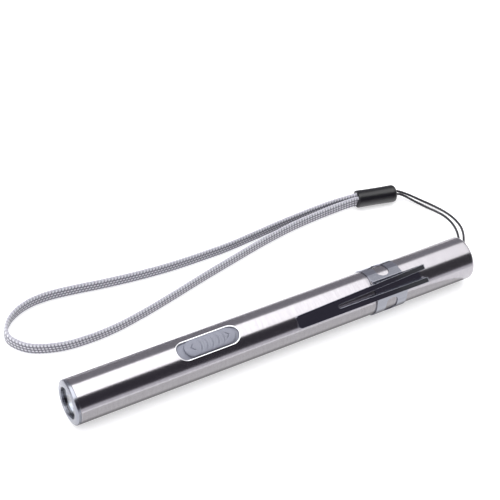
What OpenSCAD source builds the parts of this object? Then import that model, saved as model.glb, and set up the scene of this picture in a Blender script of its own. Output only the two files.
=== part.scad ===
// Penlight: steel tube lamp with a side slide switch, a sprung pocket clip and a wrist lanyard.
// It lies along X with its head at -X, and its tube rests on z = 0. Millimetres.

/* [Tube] */
// Outside diameter of the steel tube
tube_d = 14; // [14:0.1:14.6]
// Wall of the steel tube
wall = 0.5; // [0.4:0.05:0.5]
// Length from the head's lip to the tail's end
total_l = 140; // [140:0.5:146]
// Length of the polished front ring
bezel_l = 1.5; // [1.3:0.1:2]
// Radius of the light's opening
opening_r = 4.8; // [4.4:0.1:5]

/* [Switch] */
// Angle of the switch from straight up, towards -Y
switch_turn = 4; // [0:1:10]
// Length of the window in the tube
window_l = 20.6; // [20.6:0.1:21]
// Width of the window in the tube
window_w = 5.8; // [5.6:0.1:6]
// Length of the slider's face
slider_l = 16.9; // [16.5:0.1:17]
// How far the slider travels towards the head
slider_travel = 2.2; // [1.8:0.1:2.2]

/* [Clip] */
// Angle of the clip from straight up, towards -Y
clip_turn = 30; // [0:1:60]
// How far the tongue stands off the clip's line
tongue_skew = 1; // [0:0.25:1]
// Sheet thickness of the spring steel
sheet_t = 0.35; // [0.3:0.05:0.4]
// Length of the band along the tube
band_l = 11.2; // [10:0.1:12]
// How far round the band reaches on each side
band_wrap = 122; // [110:1:125]
// Width of the tongue at its tail
tongue_w = 5.8; // [5:0.1:6]
// Width of the tongue at its tip
tip_w = 4.2; // [3.6:0.1:4.6]

/* [Lanyard] */
// Diameter of the thin cord
cord_d = 0.8; // [0.6:0.1:0.9]
// Height of the braided strap as it stands on edge
strap_w = 4.8; // [4:0.1:4.8]
// Thickness of the braided strap
strap_t = 1.2; // [0.8:0.1:1.2]
// Diameter of the sleeve that joins the two
sleeve_d = 5.8; // [5.6:0.1:6.2]

/* [Hidden] */
$fn = 72;
tube_r = tube_d / 2;
bore_r = tube_r - wall;
fit_r = bore_r - 0.05;      // turned parts that sit in the tube's bore
gap = 0.1;                  // between the barrel's end and the cap's mouth

// Stations along the tube
head_x = -total_l / 2;
tail_x = total_l / 2;
bezel_x = head_x + bezel_l;
seat_x = head_x + 1;        // lens seat behind the lip
lens_t = 1;
gasket_t = 0.5;
cup_x = seat_x + lens_t + gasket_t;
led_x = head_x + 9.1;       // face of the LED's board
board_t = 1;
sink_l = 5.9;
sink_x = led_x + board_t;
carrier_x0 = sink_x + sink_l + 0.4;
seam_x = 32.1;              // where the cap meets the barrel
carrier_x1 = seam_x - 3.5;

// Head
seat_r = bore_r - 0.5;
reflector_hole_r = 2.3;
reflector_wall = 0.6;
led_w = 3;
led_t = 0.5;
led_dome_r = 1.25;
edge = 0.15;                // small chamfer at the seams

// Switch, in the frame where z points at the window
window_x = -25.4;
slider_x = window_x + 0.6;  // rests towards the tail end of the window
slider_w = window_w - 0.5;
slider_r = tube_r + 0.3;     // its crown stands a little proud of the tube
ridge_r = slider_r + 0.1;
flange_r0 = bore_r - 0.65;
flange_r1 = bore_r - 0.2;
flange_w = window_w + 1.2;
flange_x0 = slider_x - 13.8;
flange_x1 = slider_x + 12;
ridge_pitch = 1.9;
pcb_z = 0.1;                // top of the control board
pcb_t = 0.8;
pcb_w = 10;
pcb_x0 = -51;
pcb_x1 = -17;
switch_l = 8.6;
switch_w = 3.8;
switch_h = 3.8;
switch_x = slider_x - slider_travel / 2;
lever_l = 1.6;
lever_w = 1.4;
lever_z0 = 2.4;
lever_z1 = 5.6;

// Power
cell_r = 5;
cell_l = 44;
cell_x = -16;
carrier_r0 = cell_r + 0.3;
carrier_r1 = bore_r - 0.1;
strip_r0 = cell_r + 0.06;
strip_r1 = cell_r + 0.2;

// Plug
collar_x0 = carrier_x1 + 0.2;
collar_x1 = seam_x + 6.9;
ring_groove_x = seam_x + 3.4;
ring_r = 0.4;
ring_centre_r = fit_r + 0.03 - ring_r;
block_w = 9.6;
block_h = 3;
shell_w = 12;
shell_h = 4.5;
shell_l = 14;
shell_t = 0.3;
contact_x0 = collar_x0 + 0.1;
contact_t = 0.2;

// Tail
tail_shoulder = 1;
tail_hole_r = 4.6;
tail_wall = 0.6;
tail_plug_x = tail_x - 6.2;
recess_r = 3.8;
pin_x = tail_x - 2.4;
pin_r = 0.6;

// Clip
clip_gap = 0.03;
band_r0 = tube_r + clip_gap;
band_r1 = band_r0 + sheet_t;
band_x0 = seam_x;
band_x1 = band_x0 + band_l;
bend_angle = 44;            // where the plate's flats run out into the band
arc_steps = 16;             // straight steps in each bend of the band
plate_edge = band_r0 * tan(bend_angle / 2);
plate_x = tail_x - 20.9;
window_angle = 55;          // middle of each side window
side_window_l = 6.8;
side_window_w = 4.2;
bend_x = tail_x - 20.4;     // centre of the U-bends
bend_r = 1.2;
bend_z = band_r0 + bend_r;
crease_x = 6.9;
crease_z = tube_r + 0.65;
tip_x = 3.7;
tip_z = tube_r + 0.05;
slot_x = 18.5;
slot_r0 = 0.55;
slot_r1 = 1.4;

// Lanyard: the sleeve's ends, and the routes of the cord and the strap
sleeve_from = [51.2, 35.2, 2.9];
sleeve_turn = -10;
sleeve_l = 14;
cord_route = [
    [65.1, 33.4, 2.9], [66.6, 33.1, 2.8], [69.6, 31.1, 2.1], [73.1, 28.2, 1.1], [76.3, 24.8, 0.7],
    [78.4, 20.6, 1.4], [78.9, 16.2, 2.9], [77.9, 11.6, 4.9], [75.7, 7.6, 6.8], [73.3, 4.3, 7.9],
    [71.6, 1.3, 7.9], [70.5, -0.6, 7.3], [69.2, -1.1, 7], [67.6, -1.1, 7], [66.8, -0.8, 7],
    [66.5, 0, 7], [66.8, 0.8, 7], [67.6, 1.1, 7], [69.2, 1.2, 7], [70.3, 2.1, 7.2],
    [71.5, 4.2, 7.6], [73.4, 7.4, 7.1], [75.3, 11.2, 5.6], [76.4, 15.2, 3.9], [76.4, 19, 2.4],
    [75.4, 22.3, 1.2], [73.7, 25.2, 0.7], [71.2, 28, 1.1], [68.5, 30.6, 2.1], [66.4, 31.9, 2.8],
    [64.9, 32.2, 2.9]
];
strap_route = [
    [51.3, 35.9, 2.45], [49.3, 36.2, 2.45], [43, 36.5, 2.45], [36, 36.4, 2.45], [28, 36, 2.45],
    [20, 35.5, 2.45], [11, 34.7, 2.45], [2, 34, 2.45], [-8, 33.8, 2.45], [-19, 33.9, 2.45],
    [-30, 34.6, 2.45], [-41, 35.8, 2.45], [-51, 37.2, 2.45], [-60, 38, 2.45], [-67, 37.2, 2.45],
    [-72.6, 34.6, 2.45], [-75.6, 30.6, 2.45], [-75, 26.8, 2.45], [-70.4, 22.7, 2.45], [-62, 20.1, 2.45],
    [-53, 19.5, 2.45], [-44, 20, 2.45], [-34, 21.6, 2.45], [-23, 23.9, 2.45], [-11, 26.6, 2.45],
    [2, 29.3, 2.45], [14, 31.7, 2.45], [25, 33.4, 2.45], [35, 34.3, 2.45], [43, 34.7, 2.45],
    [49.1, 34.8, 2.45], [51.1, 34.5, 2.45]
];

// ---- helpers ----

// Frames: on the tube's axis, and turned so that z points at the switch or at the clip
module on_axis() translate([0, 0, tube_r]) children();
module switch_frame() on_axis() rotate([switch_turn, 0, 0]) children();
module clip_frame() on_axis() rotate([clip_turn, 0, 0]) children();

// Turned part about the tube's axis, from [radius, x] points
module turned(profile) rotate([0, 90, 0]) rotate_extrude() polygon(profile);
module rod(x0, x1, r) translate([x0, 0, 0]) rotate([0, 90, 0]) cylinder(r = r, h = x1 - x0);
module ring(x0, x1, r0, r1) turned([[r0, x0], [r1, x0], [r1, x1], [r0, x1]]);
// Box from its ends along x, its full width and its two heights
module bar(x0, x1, w, z0, z1) translate([x0, -w / 2, z0]) cube([x1 - x0, w, z1 - z0]);
// Extrudes a shape drawn in y, z along x
module along_x(x0, x1) translate([x0, 0, 0]) rotate([90, 0, 90]) linear_extrude(x1 - x0) children();
// Slot outline along x with round ends
module stadium(l, w) {
    square([l - w, w], center = true);
    for (side = [-1, 1]) translate([side * (l - w) / 2, 0]) circle(d = w);
}
// Strip of a thin ring, centred on the angle given from +z towards -y
module strip(x0, x1, r0, r1, w, angle) {
    intersection() {
        ring(x0, x1, r0, r1);
        rotate([angle, 0, 0]) bar(x0 - 1, x1 + 1, w, 0, r1 + 1);
    }
}
module rounded_box(w, h, r) {
    square([w - 2 * r, h], center = true);
    square([w, h - 2 * r], center = true);
    for (sy = [-1, 1], sz = [-1, 1]) translate([sy * (w / 2 - r), sz * (h / 2 - r)]) circle(r = r);
}

// Solid swept along a route: each ring holds the section's points, across and up
function unit(v) = v / norm(v);
function heading(p, i) = unit(p[min(i + 1, len(p) - 1)] - p[max(i - 1, 0)]);
function across(p, i) = unit(cross([0, 0, 1], heading(p, i)));
function upward(p, i) = cross(heading(p, i), across(p, i));
function ring_at(p, i, section) = [for (q = section) p[i] + q[0] * across(p, i) + q[1] * upward(p, i)];
module swept(route, section) {
    n = len(section);
    last = len(route) - 1;
    points = [for (i = [0:last]) each ring_at(route, i, section)];
    sides = [for (i = [0:last - 1]) for (k = [0:n - 1])
        let (a = i * n + k, b = i * n + (k + 1) % n) each [[a, b, b + n], [a, b + n, a + n]]];
    ends = [[for (k = [n - 1:-1:0]) k], [for (k = [0:n - 1]) last * n + k]];
    polyhedron(points, concat(sides, ends));
}

// ---- head ----

module bezel() {
    lip = 0.5;
    color("gainsboro") on_axis() turned([
        [opening_r + lip, head_x], [tube_r - 2 * lip, head_x], [tube_r - lip, head_x + 0.15],
        [tube_r - 0.15, head_x + lip], [tube_r, head_x + 2 * lip], [tube_r, bezel_x - edge],
        [tube_r - edge, bezel_x], [fit_r, bezel_x], [fit_r, led_x], [seat_r, led_x],
        [seat_r, seat_x], [opening_r, seat_x], [opening_r, head_x + lip]]);
}

module lens() color("lightcyan", 0.5) on_axis() rod(seat_x, seat_x + lens_t, seat_r - 0.05);

module lens_gasket() {
    color("dimgray") on_axis() ring(seat_x + lens_t, cup_x, opening_r + 0.2, seat_r - 0.05);
}

// Parabolic cup: its radius is the root of the distance from the parabola's vertex
module reflector() {
    root_x = led_x - 0.3;
    mouth_r = opening_r;
    vertex = (root_x * mouth_r ^ 2 - cup_x * reflector_hole_r ^ 2) / (mouth_r ^ 2 - reflector_hole_r ^ 2);
    focus4 = mouth_r ^ 2 / (vertex - cup_x);
    steps = 12;
    inner = [for (i = [0:steps]) let (x = cup_x + (root_x - cup_x) * i / steps) [sqrt(focus4 * (vertex - x)), x]];
    outer = [for (i = [steps:-1:3]) [inner[i][0] + reflector_wall, inner[i][1]]];
    rim = [[outer[len(outer) - 1][0], cup_x + 0.8], [seat_r - 0.05, cup_x + 0.8], [seat_r - 0.05, cup_x]];
    color("whitesmoke") on_axis() turned(concat(inner, [[reflector_hole_r, led_x],
        [reflector_hole_r + reflector_wall, led_x]], outer, rim));
}

module led_emitter() {
    color("lemonchiffon") on_axis() {
        bar(led_x - led_t, led_x, led_w, -led_w / 2, led_w / 2);
        intersection() {
            translate([led_x - led_t, 0, 0]) sphere(r = led_dome_r);
            bar(led_x - 3, led_x - led_t / 2, led_w, -led_w / 2, led_w / 2);
        }
    }
}

module led_board() color("white") on_axis() rod(led_x, sink_x, bore_r - 0.2);

module heat_sink() {
    web = 2.4;
    color("silver") switch_frame() difference() {
        rod(sink_x, sink_x + sink_l, fit_r);
        rod(sink_x + web, sink_x + sink_l + 1, fit_r - 1.2);
        lead_pair(sink_x - 1, sink_x + web + 1, 0.55);
    }
}

// Two round shapes side by side, just above the control board
module lead_pair(x0, x1, r) {
    for (side = [-1, 1]) translate([0, side * 2.4, pcb_z + 0.43]) rod(x0, x1, r);
}

module led_leads() color("firebrick") switch_frame() lead_pair(sink_x, pcb_x0 + 2.5, 0.4);

// ---- barrel ----

module barrel_tube() {
    color("lightsteelblue") difference() {
        on_axis() turned([[bore_r, bezel_x], [tube_r - edge, bezel_x], [tube_r, bezel_x + edge],
            [tube_r, seam_x - gap / 2], [bore_r, seam_x - gap / 2]]);
        switch_frame() translate([window_x, 0, 0]) linear_extrude(tube_r + 1) stadium(window_l, window_w);
    }
}

module carrier_half(side) {
    intersection() {
        ring(carrier_x0, carrier_x1, carrier_r0, carrier_r1);
        bar(carrier_x0, carrier_x1, 2 * tube_r, side > 0 ? 0.05 : -tube_r, side > 0 ? tube_r : -0.05);
    }
}

module carrier_upper() {
    color("darkslategray") switch_frame() difference() {
        carrier_half(1);
        bar(flange_x0 - slider_travel - 0.4, flange_x1 + 0.4, flange_w + 0.8, 2, tube_r);
    }
}

module carrier_lower() {
    color("darkslategray") switch_frame() {
        carrier_half(-1);
        for (side = [-1, 1]) translate([0, side * 4.7, 0]) bar(pcb_x0, pcb_x1, 1.3, -2, pcb_z - pcb_t);
    }
}

module control_board() color("seagreen") switch_frame() bar(pcb_x0, pcb_x1, pcb_w, pcb_z - pcb_t, pcb_z);

// Charger chip, driver chip, coil and four capacitors
module board_parts() {
    color("black") switch_frame() {
        bar(-46.5, -41.6, 3.9, pcb_z, pcb_z + 1.5);
        bar(-40, -36, 4, pcb_z, pcb_z + 2.2);
        bar(-34.6, -31.7, 1.6, pcb_z, pcb_z + 1.1);
        for (x = [-46, -42.4], side = [-1, 1]) {
            translate([0, side * 3.6, 0]) bar(x, x + 2, 1.2, pcb_z, pcb_z + 1);
        }
    }
}

module slide_switch_body() {
    slot_l = lever_l + slider_travel + 0.4;
    color("silver") switch_frame() difference() {
        bar(switch_x - switch_l / 2, switch_x + switch_l / 2, switch_w, pcb_z, pcb_z + switch_h);
        bar(switch_x - slot_l / 2, switch_x + slot_l / 2, lever_w + 0.3, lever_z0 - 0.2, tube_r);
    }
}

module slide_switch_actuator() {
    color("black") switch_frame() bar(slider_x - lever_l / 2, slider_x + lever_l / 2, lever_w, lever_z0, lever_z1);
}

// Slider: face in the window, skirt inside the tube and a fork round the switch's lever
module switch_slider() {
    fork = 1;
    color("lightslategray") switch_frame() {
        intersection() {
            translate([slider_x, 0, flange_r0 + 0.1]) linear_extrude(3) stadium(slider_l, slider_w);
            rod(slider_x - slider_l, slider_x + slider_l, slider_r);
        }
        intersection() {
            ring(flange_x0, flange_x1, flange_r0, flange_r1);
            bar(flange_x0, flange_x1, flange_w, 0, tube_r);
        }
        for (i = [-2:2]) intersection() {
            ring(slider_x + i * ridge_pitch - 0.25, slider_x + i * ridge_pitch + 0.25, flange_r1, ridge_r);
            bar(slider_x - slider_l / 2, slider_x + slider_l / 2, 3, 0, ridge_r);
        }
        for (side = [-1, 1]) translate([slider_x + side * (lever_l / 2 + 0.1 + fork / 2), 0, 0])
            bar(-fork / 2, fork / 2, 3, lever_z0 + 1.8, flange_r0 + 0.2);
    }
}

// ---- power ----

module battery_cell() color("steelblue") on_axis() rod(cell_x, cell_x + cell_l, cell_r);

module battery_tabs() {
    color("silver") switch_frame() {
        bar(cell_x - 0.35, cell_x - 0.15, 3, -3, pcb_z + 0.15);
        bar(pcb_x1 - 1.5, cell_x - 0.15, 3, pcb_z, pcb_z + 0.15);
        strip(pcb_x1 - 1.2, cell_x + cell_l + 0.3, strip_r0, strip_r1, 3, 180);
        bar(pcb_x1 - 1.2, pcb_x1 - 1, 3, -strip_r0 - 0.05, pcb_z - pcb_t);
        bar(cell_x + cell_l + 0.1, cell_x + cell_l + 0.3, 3, -strip_r0 - 0.05, -1);
    }
}

module plug_ribbon() {
    drop_x = contact_x0;
    color("orange") switch_frame() {
        strip(pcb_x1 - 0.8, drop_x + 0.15, strip_r0, strip_r1, 4, 0);
        bar(drop_x, drop_x + 0.15, 4, contact_t, strip_r0 - 0.1);
        bar(drop_x, drop_x + 0.15, 2, contact_t, strip_r0 + 0.07);
        bar(pcb_x1 - 0.95, pcb_x1 - 0.8, 3, pcb_z + 0.15, strip_r0 + 0.02);
        bar(pcb_x1 - 1.6, pcb_x1 - 0.8, 3, pcb_z + 0.15, pcb_z + 0.25);
    }
}

// ---- plug ----

module plug_collar() {
    color("whitesmoke") switch_frame() difference() {
        turned([[0, collar_x0], [fit_r, collar_x0], [fit_r, ring_groove_x - 0.6],
            [ring_centre_r - ring_r - 0.02, ring_groove_x - 0.6],
            [ring_centre_r - ring_r - 0.02, ring_groove_x + 0.6], [fit_r, ring_groove_x + 0.6],
            [fit_r, collar_x1 - 0.4], [fit_r - 0.4, collar_x1], [0, collar_x1]]);
        rod(collar_x0 - 1, collar_x0 + 2.2, strip_r1 + 0.4);
        bar(collar_x0, collar_x1 + 1, block_w + 0.1, -block_h / 2 - 0.05, block_h / 2 + 0.05);
    }
}

module neck_o_ring() {
    color("black") on_axis() translate([ring_groove_x, 0, 0]) rotate([0, 90, 0])
        rotate_extrude() translate([ring_centre_r, 0]) circle(r = ring_r);
}

module usb_shell() {
    color("silver") switch_frame() difference() {
        along_x(collar_x1, collar_x1 + shell_l) rounded_box(shell_w, shell_h, 0.6);
        along_x(collar_x1 - 1, collar_x1 + shell_l + 1) rounded_box(shell_w - 2 * shell_t, shell_h - 2 * shell_t, 0.4);
        for (side = [-1, 1]) translate([collar_x1 + shell_l - 6.6, side * 2.9 - 1.1, -5]) cube([2.2, 2.2, 10]);
    }
}

// The four contacts: the outer pair reaches further forward
module usb_contacts() {
    color("gold") switch_frame() {
        for (y = [-3.5, 3.5]) translate([0, y, 0]) bar(contact_x0 + 0.2, collar_x1 + 12, 1, 0, contact_t);
        for (y = [-1, 1]) translate([0, y, 0]) bar(contact_x0, collar_x1 + 11, 1, 0, contact_t);
    }
}

module usb_insulator() {
    inner_w = shell_w - 2 * shell_t - 0.04;
    inner_h = shell_h - 2 * shell_t - 0.04;
    color("white") switch_frame() difference() {
        union() {
            bar(collar_x0 + 1, collar_x1 + 1, block_w, -block_h / 2, block_h / 2);
            bar(collar_x1, collar_x1 + 1.2, inner_w - 0.4, -inner_h / 2 + 0.2, inner_h / 2 - 0.2);
            bar(collar_x1, collar_x1 + 12.6, inner_w - 0.4, -inner_h / 2 + 0.2, 0);
        }
        for (y = [-3.5, -1, 1, 3.5]) translate([0, y, 0]) bar(collar_x0, collar_x1 + 12, 1, 0, contact_t);
    }
}

// ---- cap ----

// Drawn tube with a rounded shoulder and a hole in its end
module cap_tube() {
    shoulder = [for (a = [0:15:90]) [tube_r - tail_shoulder + tail_shoulder * cos(a),
        tail_x - tail_shoulder + tail_shoulder * sin(a)]];
    color("lightsteelblue") on_axis() turned(concat([[bore_r, seam_x + gap / 2], [tube_r, seam_x + gap / 2]],
        shoulder, [[tail_hole_r, tail_x], [tail_hole_r, tail_x - tail_wall], [bore_r - 0.3, tail_x - tail_wall],
        [bore_r, tail_x - tail_wall - 0.3]]));
}

module tail_plug() {
    color("dimgray") on_axis() difference() {
        turned([[0, tail_plug_x], [fit_r, tail_plug_x], [fit_r, tail_x - tail_wall - 0.4],
            [fit_r - 0.4, tail_x - tail_wall], [tail_hole_r - 0.03, tail_x - tail_wall],
            [tail_hole_r - 0.03, tail_x - 0.3], [recess_r, tail_x - 0.3], [recess_r, tail_plug_x + 1.8],
            [0, tail_plug_x + 1.8]]);
        translate([pin_x, 0, -5.4]) cylinder(r = pin_r, h = 10.8);
    }
}

module lanyard_pin() color("silver") on_axis() translate([pin_x, 0, -5.3]) cylinder(r = pin_r - 0.01, h = 10.6);

// ---- clip ----

// One face of the band in y, z, from end to end: an arc, the plate with a flat each side, an arc
function arc_points(r, a0, a1) = [for (i = [0:arc_steps])
    let (a = a0 + (a1 - a0) * i / arc_steps) [r * sin(a), r * cos(a)]];
function band_face(r) = concat(arc_points(r, -band_wrap, -bend_angle),
    [[-r * tan(bend_angle / 2), r], [r * tan(bend_angle / 2), r]], arc_points(r, bend_angle, band_wrap));
function reversed(p) = [for (i = [len(p) - 1:-1:0]) p[i]];

module clip_band() {
    color("silver") clip_frame() {
        difference() {
            along_x(band_x0, band_x1) polygon(concat(band_face(band_r1), reversed(band_face(band_r0))));
            for (side = [-1, 1]) rotate([side * window_angle, 0, 0])
                translate([(band_x0 + band_x1) / 2, 0, 2]) rotate([0, 0, 90])
                linear_extrude(tube_r) stadium(side_window_l, side_window_w);
        }
        bar(band_x1 - 0.5, plate_x, 2 * plate_edge, band_r0, band_r1);
        for (side = [-1, 1]) translate([0, side * (plate_edge + slot_r1) / 2, 0])
            bar(plate_x - 1, bend_x - 0.25, plate_edge - slot_r1, band_r0, band_r1);
    }
}

// Tongue's side outline in x, z: tip, crease, long slope and the U-bend
module tongue_side() {
    inner_r = bend_r - sheet_t;
    inner = [for (a = [90:-15:-90]) [bend_x + inner_r * cos(a), bend_z + inner_r * sin(a)]];
    outer = [for (a = [-90:15:90]) [bend_x + bend_r * cos(a), bend_z + bend_r * sin(a)]];
    polygon(concat([[tip_x, tip_z], [crease_x, crease_z]], inner, outer,
        [[crease_x, crease_z + sheet_t], [tip_x, tip_z + sheet_t]]));
}

// Tongue's outline from above: it tapers to the tip and is slotted from the tail
module tongue_plan() {
    end_x = bend_x + bend_r + 1;
    difference() {
        polygon([[tip_x, -tip_w / 2 + 0.5], [tip_x + 0.6, -tip_w / 2], [end_x, -tongue_w / 2],
            [end_x, tongue_w / 2], [tip_x + 0.6, tip_w / 2], [tip_x, tip_w / 2 - 0.5]]);
        translate([slot_x, 0]) circle(r = slot_r0);
        polygon([[slot_x, -slot_r0], [end_x + 1, -slot_r1], [end_x + 1, slot_r1], [slot_x, slot_r0]]);
    }
}

module clip_tongue() {
    color("silver") clip_frame() translate([bend_x, 0, 0]) rotate([0, 0, tongue_skew]) translate([-bend_x, 0, 0])
        intersection() {
            rotate([90, 0, 0]) linear_extrude(2 * tongue_w, center = true) tongue_side();
            linear_extrude(2 * tube_r) tongue_plan();
        }
}

// ---- lanyard ----

module lanyard_cord() {
    section = [for (a = [0:45:315]) cord_d / 2 * [cos(a), sin(a)]];
    color("black") swept(cord_route, section);
}

module lanyard_sleeve() {
    r = sleeve_d / 2;
    round_r = 0.9;
    front = [for (a = [0:15:90]) [r - round_r + round_r * cos(a), sleeve_l - round_r + round_r * sin(a)]];
    color("black") translate(sleeve_from) rotate([0, 0, sleeve_turn]) turned(concat([[0, 0], [r - 0.3, 0], [r, 0.3]],
        front, [[0, sleeve_l]]));
}

module lanyard_strap() {
    half_t = strap_t / 2;
    half_w = strap_w / 2;
    round_w = half_w - 0.3;
    section = [[half_t, -round_w], [half_t, round_w], [half_t / 2, half_w], [-half_t / 2, half_w],
        [-half_t, round_w], [-half_t, -round_w], [-half_t / 2, -half_w], [half_t / 2, -half_w]];
    color("lightgray") swept(strap_route, section);
}

bezel();
lens();
lens_gasket();
reflector();
led_emitter();
led_board();
heat_sink();
led_leads();
barrel_tube();
carrier_upper();
carrier_lower();
control_board();
board_parts();
slide_switch_body();
slide_switch_actuator();
switch_slider();
battery_cell();
battery_tabs();
plug_ribbon();
plug_collar();
neck_o_ring();
usb_shell();
usb_insulator();
usb_contacts();
cap_tube();
tail_plug();
lanyard_pin();
clip_band();
clip_tongue();
lanyard_cord();
lanyard_sleeve();
lanyard_strap();
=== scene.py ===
# Penlight with a pocket clip and a wrist lanyard.
# Metres throughout. The tube lies along x with its head at -x, and rests on z = 0.
import math

import bmesh
import bpy
import numpy as np
from mathutils import Matrix, Vector


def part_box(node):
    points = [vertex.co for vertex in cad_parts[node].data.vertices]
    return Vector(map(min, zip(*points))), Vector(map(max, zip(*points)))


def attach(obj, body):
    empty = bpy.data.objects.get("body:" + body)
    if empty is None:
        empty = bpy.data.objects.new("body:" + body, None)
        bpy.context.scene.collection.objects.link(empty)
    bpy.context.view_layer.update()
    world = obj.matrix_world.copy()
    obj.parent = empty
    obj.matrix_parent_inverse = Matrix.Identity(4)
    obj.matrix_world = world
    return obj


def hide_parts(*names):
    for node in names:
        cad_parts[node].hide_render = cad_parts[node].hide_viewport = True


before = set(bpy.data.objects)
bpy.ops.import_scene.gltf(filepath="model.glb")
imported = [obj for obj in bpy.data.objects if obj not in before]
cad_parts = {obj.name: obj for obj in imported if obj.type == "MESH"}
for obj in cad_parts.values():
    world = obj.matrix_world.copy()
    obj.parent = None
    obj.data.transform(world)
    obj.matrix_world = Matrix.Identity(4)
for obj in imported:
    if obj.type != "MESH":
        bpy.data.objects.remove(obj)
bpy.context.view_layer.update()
mm = 0.001

tubeLow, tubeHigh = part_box("barrel_tube")
tubeRadius = (tubeHigh.z - tubeLow.z) / 2
axisHeight = (tubeHigh.z + tubeLow.z) / 2
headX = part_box("bezel")[0].x
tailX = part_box("cap_tube")[1].x
switchTurn = math.radians(4)    # the switch faces up, 4 degrees towards -y


# ---- small helpers ----

def linearColor(hexText, alpha=1.0):
    # sRGB hex to linear: the low end is a straight line, the rest a 2.4 power
    parts = [int(hexText[i:i + 2], 16) / 255 for i in (1, 3, 5)]
    linear = [c / 12.92 if c <= 0.04045 else ((c + 0.055) / 1.055) ** 2.4 for c in parts]
    return (*linear, alpha)


def placed(name, data):
    # Puts a mesh, a lamp or a camera into the scene as an object
    obj = bpy.data.objects.new(name, data)
    bpy.context.scene.collection.objects.link(obj)
    return obj


def meshObject(name, points, faces, body, sharpAngle=32):
    # Joins points that coincide, turns the faces outwards and marks edges sharper than the angle
    merge = 0.0002 * mm
    mesh = bpy.data.meshes.new(name)
    mesh.from_pydata(points.tolist(), [], faces.tolist())
    work = bmesh.new()
    work.from_mesh(mesh)
    bmesh.ops.remove_doubles(work, verts=work.verts, dist=merge)
    bmesh.ops.dissolve_degenerate(work, edges=work.edges, dist=merge)
    bmesh.ops.recalc_face_normals(work, faces=work.faces)
    work.to_mesh(mesh)
    work.free()
    mesh.polygons.foreach_set("use_smooth", np.ones(len(mesh.polygons), bool))
    mesh.set_sharp_from_angle(angle=math.radians(sharpAngle))
    obj = placed(name, mesh)
    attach(obj, body)
    return obj


def gridFaces(rows, columns, closedRows=False, closedColumns=False):
    # Quads of a grid stored row by row, wrapped round where a direction is closed
    i = np.arange(rows if closedRows else rows - 1)[:, None]
    j = np.arange(columns if closedColumns else columns - 1)[None, :]
    row, nextRow = i * columns, (i + 1) % rows * columns
    nextJ = (j + 1) % columns
    return np.stack([row + j, nextRow + j, nextRow + nextJ, row + nextJ], -1).reshape(-1, 4)


def joinGrids(grids):
    # Puts several (points, faces) pairs into one
    points, faces, count = [], [], 0
    for p, f in grids:
        points.append(p)
        faces.append(f + count)
        count += len(p)
    return np.concatenate(points), np.concatenate(faces)


def arc(centreX, centreR, radius, fromAngle, toAngle, steps=6):
    # Points of a circular arc in the (x, r) plane, angles from +x towards +r in degrees
    a = np.radians(np.linspace(fromAngle, toAngle, steps + 1))
    return np.stack([centreX + radius * np.cos(a), centreR + radius * np.sin(a)], -1)


def profile(*parts):
    # Runs points and arcs, given in millimetres, together into one closed outline in metres
    return np.concatenate([np.atleast_2d(np.array(p, float)) for p in parts]) * mm


def lathe(name, outline, body, around, centre=None, turn=0.0):
    # Turns a closed (x, r) outline round an axis along x, y = r sin(a), z = r cos(a), then turns it about z
    centre = np.array([0, 0, axisHeight]) if centre is None else np.array(centre, float)
    a = np.linspace(0, 2 * math.pi, around, endpoint=False)
    x = np.repeat(outline[:, 0][:, None], around, 1)
    y = outline[:, 1][:, None] * np.sin(a)
    z = outline[:, 1][:, None] * np.cos(a)
    c, s = math.cos(turn), math.sin(turn)
    points = np.stack([x * c - y * s, x * s + y * c, z], -1).reshape(-1, 3) + centre
    return meshObject(name, points, gridFaces(len(outline), around, True, True), body)


def turnAboutTube(points, angle):
    # Turns points given about the tube's axis by an angle from +z towards -y, and lifts them onto it
    c, s = math.cos(angle), math.sin(angle)
    x, y, z = points[..., 0], points[..., 1], points[..., 2]
    return np.stack([x, y * c - z * s, y * s + z * c + axisHeight], -1)


def smoothPath(route, spacing):
    # Catmull-Rom curve through the route's points, resampled to an even spacing along its length
    p = np.array(route, float)
    ends = np.concatenate([[2 * p[0] - p[1]], p, [2 * p[-1] - p[-2]]])
    t = np.linspace(0, 1, 24, endpoint=False)[:, None]
    fine = []
    for i in range(1, len(ends) - 2):
        a, b, c, d = ends[i - 1:i + 3]
        fine.append(0.5 * (2 * b + (c - a) * t + (2 * a - 5 * b + 4 * c - d) * t ** 2
                           + (3 * b - a - 3 * c + d) * t ** 3))
    fine = np.concatenate(fine + [p[-1:]])
    along = np.concatenate([[0], np.cumsum(np.linalg.norm(np.diff(fine, axis=0), axis=1))])
    count = max(2, int(round(along[-1] / spacing)) + 1)
    wanted = np.linspace(0, along[-1], count)
    return np.stack([np.interp(wanted, along, fine[:, k]) for k in range(3)], -1), wanted


def pathFrames(path):
    # Sideways (level) and upward unit vectors at each point of a path, both square to its heading
    heading = np.gradient(path, axis=0)
    heading /= np.linalg.norm(heading, axis=1)[:, None]
    sideways = np.cross([0, 0, 1], heading)
    sideways /= np.linalg.norm(sideways, axis=1)[:, None]
    return sideways, np.cross(heading, sideways)


# ---- materials ----

def addNode(tree, kind, settings=None, links=None):
    # Adds one node: settings are socket values or properties, links carry another node's output to a socket
    node = tree.nodes.new(kind)
    for key, value in (settings or {}).items():
        if isinstance(key, int) or key in node.inputs:
            node.inputs[key].default_value = value
        else:
            setattr(node, key, value)
    for key, output in (links or {}).items():
        tree.links.new(output, node.inputs[key])
    return node


def newMaterial(name, **shader):
    # A material with one Principled shader, whose uniform values sit on its own sockets
    material = bpy.data.materials.new(name)
    material.use_nodes = True
    tree = material.node_tree
    principled = tree.nodes["Principled BSDF"]
    for key, value in shader.items():
        principled.inputs[key.replace("_", " ")].default_value = value
    return material, tree, principled


def objectPoint(tree, scale):
    # Object coordinates stretched by a scale for each axis, in pattern cycles per metre
    where = addNode(tree, "ShaderNodeTexCoord").outputs["Object"]
    return addNode(tree, "ShaderNodeMapping", {"Scale": scale}, {"Vector": where}).outputs["Vector"]


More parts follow.
